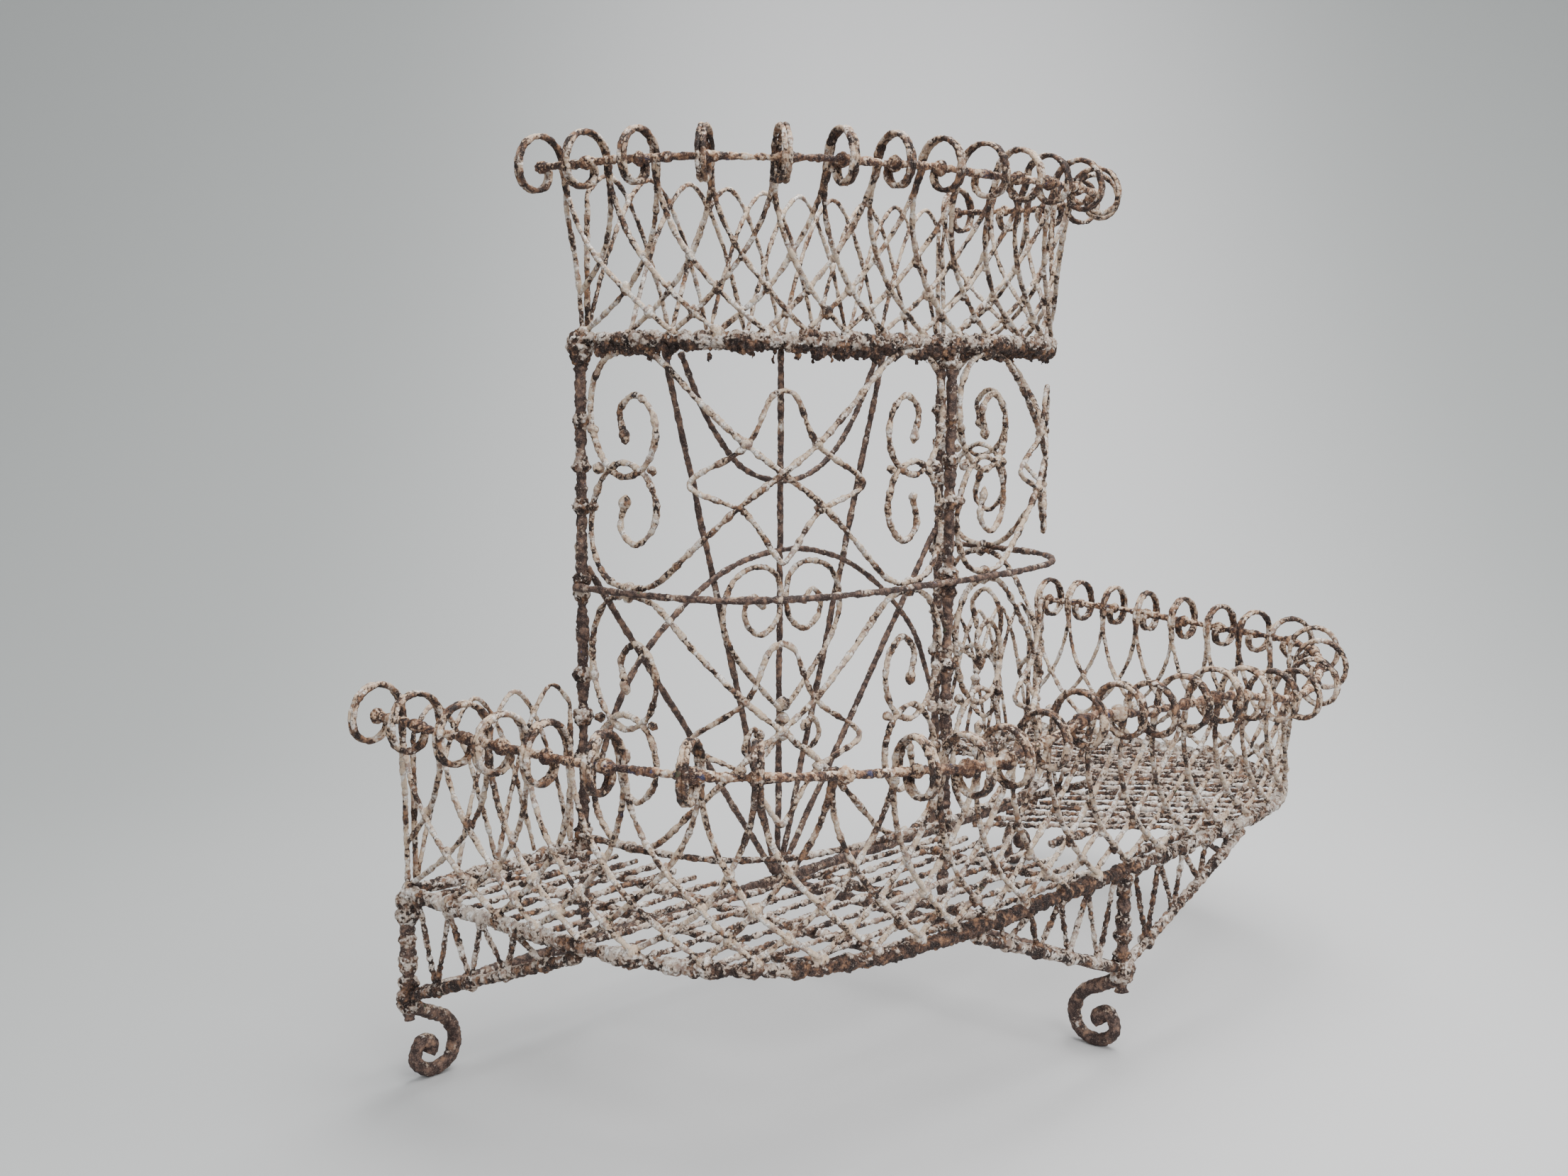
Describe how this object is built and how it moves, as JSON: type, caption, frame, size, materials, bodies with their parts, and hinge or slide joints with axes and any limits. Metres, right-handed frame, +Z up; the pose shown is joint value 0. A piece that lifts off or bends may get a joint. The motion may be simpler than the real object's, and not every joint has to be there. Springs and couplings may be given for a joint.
{
  "type": "wirework plant stand",
  "caption": "Wall-side wirework plant stand: a wide D-shaped basket on scroll legs, with a smaller D-shaped basket on an open scrollwork tower.",
  "frame": {"origin": "under the middle of the stand, on the ground", "axes": "+X along the wall side, +Y towards the wall, +Z up"},
  "size_m": [1.1736, 0.5476, 0.8923],
  "materials": {
    "flaking_paint": "thick cream and grey-white paint, cracked and flaking to rust",
    "crusted_paint": "many coats of dirty cream paint built up in lumps",
    "rusted_rail": "cream paint mostly lost to orange-brown rust",
    "bare_iron": "dark brown rusted iron with scraps of paint"
  },
  "bodies": {
    "root": {"star_panel_lower_left": "flaking_paint", "star_panel_lower_right": "flaking_paint", "star_panel_upper_left": "flaking_paint", "star_panel_upper_right": "flaking_paint", "fan_heart": "flaking_paint", "fan_tail_scrolls": "flaking_paint", "wall_lattice_left": "flaking_paint", "wall_lattice_right": "flaking_paint", "wall_lattice_upper": "flaking_paint", "floor_grid_left": "flaking_paint", "floor_grid_right": "flaking_paint", "lower_hairpins_01": "flaking_paint", "lower_hairpins_02": "flaking_paint", "lower_hairpins_03": "flaking_paint", "lower_hairpins_04": "flaking_paint", "lower_hairpins_05": "flaking_paint", "lower_hairpins_06": "flaking_paint", "lower_hairpins_07": "flaking_paint", "lower_hairpins_08": "flaking_paint", "lower_hairpins_09": "flaking_paint", "lower_hairpins_10": "flaking_paint", "lower_hairpins_11": "flaking_paint", "lower_hairpins_12": "flaking_paint", "lower_hairpins_13": "flaking_paint", "lower_hairpins_14": "flaking_paint", "lower_hairpins_15": "flaking_paint", "lower_hairpins_16": "flaking_paint", "upper_hairpins_01": "flaking_paint", "upper_hairpins_02": "flaking_paint", "upper_hairpins_03": "flaking_paint", "upper_hairpins_04": "flaking_paint", "upper_hairpins_05": "flaking_paint", "upper_hairpins_06": "flaking_paint", "upper_hairpins_07": "flaking_paint", "upper_hairpins_08": "flaking_paint", "upper_hairpins_09": "flaking_paint", "floor_rim": "crusted_paint", "shelf_rim": "crusted_paint", "shelf_grid": "crusted_paint", "tower_foot_rail": "crusted_paint", "apron_left_end": "crusted_paint", "apron_front_left": "crusted_paint", "apron_front_right": "crusted_paint", "apron_right_end": "crusted_paint", "lower_rail": "rusted_rail", "upper_rail": "rusted_rail", "tower_middle_ring": "bare_iron", "post_front": "bare_iron", "leg_left": "bare_iron", "leg_front": "bare_iron", "leg_right": "bare_iron", "base_wall_bar": "bare_iron", "base_stem_bar": "bare_iron", "post_left": "bare_iron", "post_right": "bare_iron", "fan_rods": "bare_iron", "fan_hanging_arc": "bare_iron", "fan_arch": "bare_iron"}
  },
  "joints": []
}
